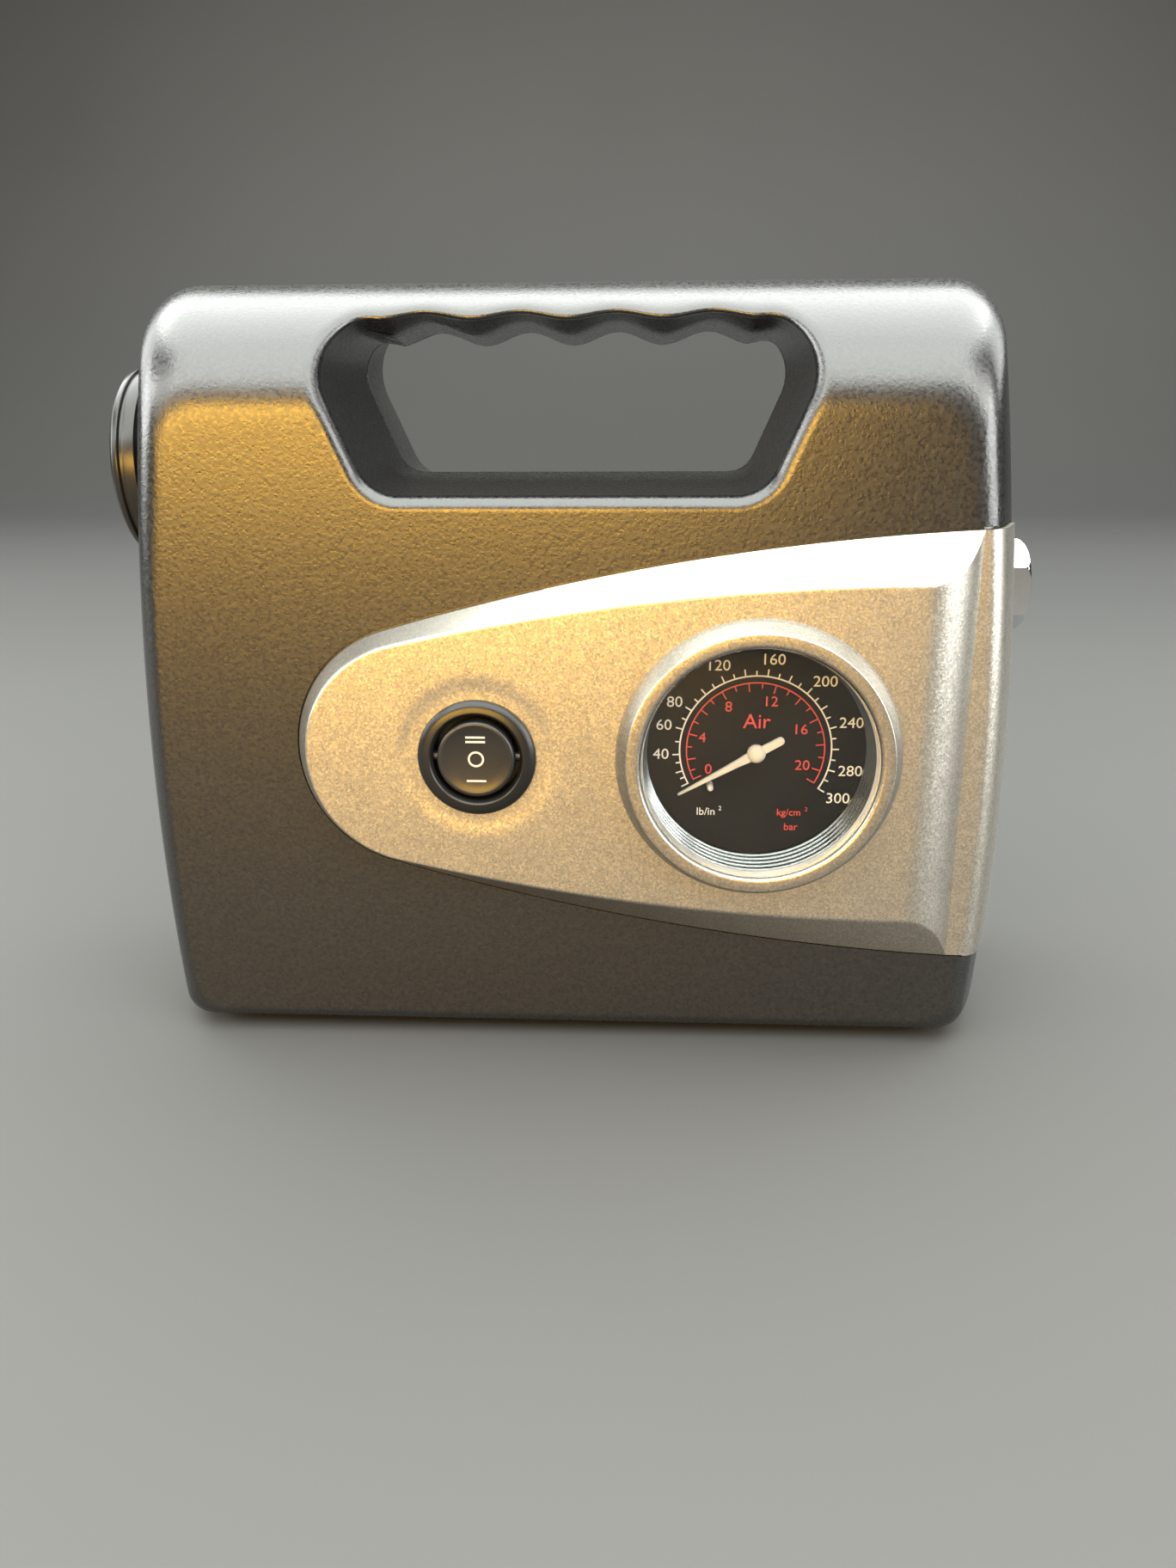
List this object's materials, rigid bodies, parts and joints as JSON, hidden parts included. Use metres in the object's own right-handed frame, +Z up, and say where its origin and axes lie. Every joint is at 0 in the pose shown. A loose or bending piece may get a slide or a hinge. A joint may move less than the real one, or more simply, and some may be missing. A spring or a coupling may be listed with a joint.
{
  "type": "tyre inflator with gauge",
  "caption": "Portable 12 V tyre inflator: black case with hand hole, silver front panel, round pressure gauge, rocker switch, end lamp, chrome air outlet and piston pump.",
  "frame": {"origin": "on the surface the inflator stands on, under the middle of the case", "axes": "+X to the right seen from the gauge side, -Y out of the gauge side, +Z up"},
  "size_m": [0.1872, 0.0744, 0.1523],
  "materials": {
    "case": "satin black moulded plastic with a fine grain",
    "silver": "silver metallic paint on plastic, satin",
    "switch": "black nylon, satin",
    "rubber": "black rubber",
    "chrome": "bright chrome plate",
    "steel": "zinc-plated steel",
    "dark_steel": "black painted steel",
    "brass": "turned brass",
    "bronze": "bronze",
    "copper": "enamelled copper wire",
    "alloy": "die-cast aluminium",
    "magnet": "ferrite and carbon, dark grey",
    "nylon": "natural nylon",
    "hose": "grey reinforced hose",
    "clear": "clear polycarbonate",
    "mirror": "metallised reflector",
    "board": "green circuit board",
    "led": "yellow phosphor under clear resin",
    "dial": "matt black dial",
    "needle": "cream painted pointer"
  },
  "bodies": {
    "housing": {"front_shell": "case", "rear_shell": "case", "front_panel": "silver", "rubber_feet": "rubber", "shell_screws": "steel", "cord_gland": "rubber", "outlet_fitting": "chrome", "outlet_nut": "brass", "outlet_seal": "rubber", "tee_block": "brass", "air_tube": "hose", "gauge_tube": "hose", "lamp_bezel": "case", "lamp_lens": "clear", "lamp_reflector": "mirror", "lamp_board": "board", "lamp_led": "led", "gauge_ring": "silver", "gauge_case": "dark_steel", "gauge_dial": "dial", "gauge_lens": "clear", "needle_stop": "needle", "sector_axle": "steel", "movement_frame": "brass", "bourdon_tube": "bronze", "bourdon_link": "steel", "gauge_socket": "brass", "switch_housing": "switch", "rocker_pin": "steel", "switch_contacts": "brass", "frame_plate": "steel", "frame_screws": "steel", "motor_can": "steel", "motor_end_cap": "switch", "motor_magnets": "magnet", "motor_bushes": "bronze", "motor_brushes": "magnet", "motor_screws": "steel", "gear_axle": "steel", "pump_cylinder": "alloy", "valve_plate": "steel", "cylinder_head": "alloy", "head_screws": "steel"},
    "rocker": {"switch_rocker": "switch", "switch_plunger": "brass"},
    "needle": {"gauge_needle": "needle", "needle_arbor": "steel"},
    "sector": {"gauge_sector": "brass"},
    "rotor": {"motor_shaft": "steel", "armature": "steel", "windings": "copper", "commutator": "copper", "motor_pinion": "steel"},
    "crank_gear": {"drive_gear": "nylon"},
    "piston": {"piston_rod": "alloy", "crank_pin": "steel", "piston_seal": "nylon"}
  },
  "joints": [
    {"name": "rocker_tilt", "type": "hinge", "parent": "housing", "child": "rocker", "pos_m": [-0.0168, -0.0358, 0.0643], "axis": [1, 0, 0], "range_deg": [-12, 12]},
    {"name": "sector_swing", "type": "hinge", "parent": "housing", "child": "sector", "pos_m": [0.04342, -0.02, 0.07474], "axis": [0, 1, 0], "range_deg": [-26.6, 0], "stiffness_Nm_per_rad": 0.002},
    {"name": "needle_turn", "type": "hinge", "parent": "housing", "child": "needle", "pos_m": [0.0374, -0.03, 0.0643], "axis": [0, 1, 0], "range_deg": [0, 240]},
    {"name": "motor_spin", "type": "hinge", "parent": "housing", "child": "rotor", "pos_m": [-0.02, 0.004, 0.026], "axis": [1, 0, 0], "continuous": true},
    {"name": "gear_spin", "type": "hinge", "parent": "housing", "child": "crank_gear", "pos_m": [-0.0496, 0.004, 0.05135], "axis": [1, 0, 0], "continuous": true},
    {"name": "piston_slide", "type": "slide", "parent": "housing", "child": "piston", "axis": [0, 0, 1], "range_m": [0, 0.016]}
  ],
  "couplings": [
    {"joint": "needle_turn", "follows": "sector_swing", "ratio": -9},
    {"joint": "gear_spin", "follows": "motor_spin", "ratio": -0.2}
  ]
}
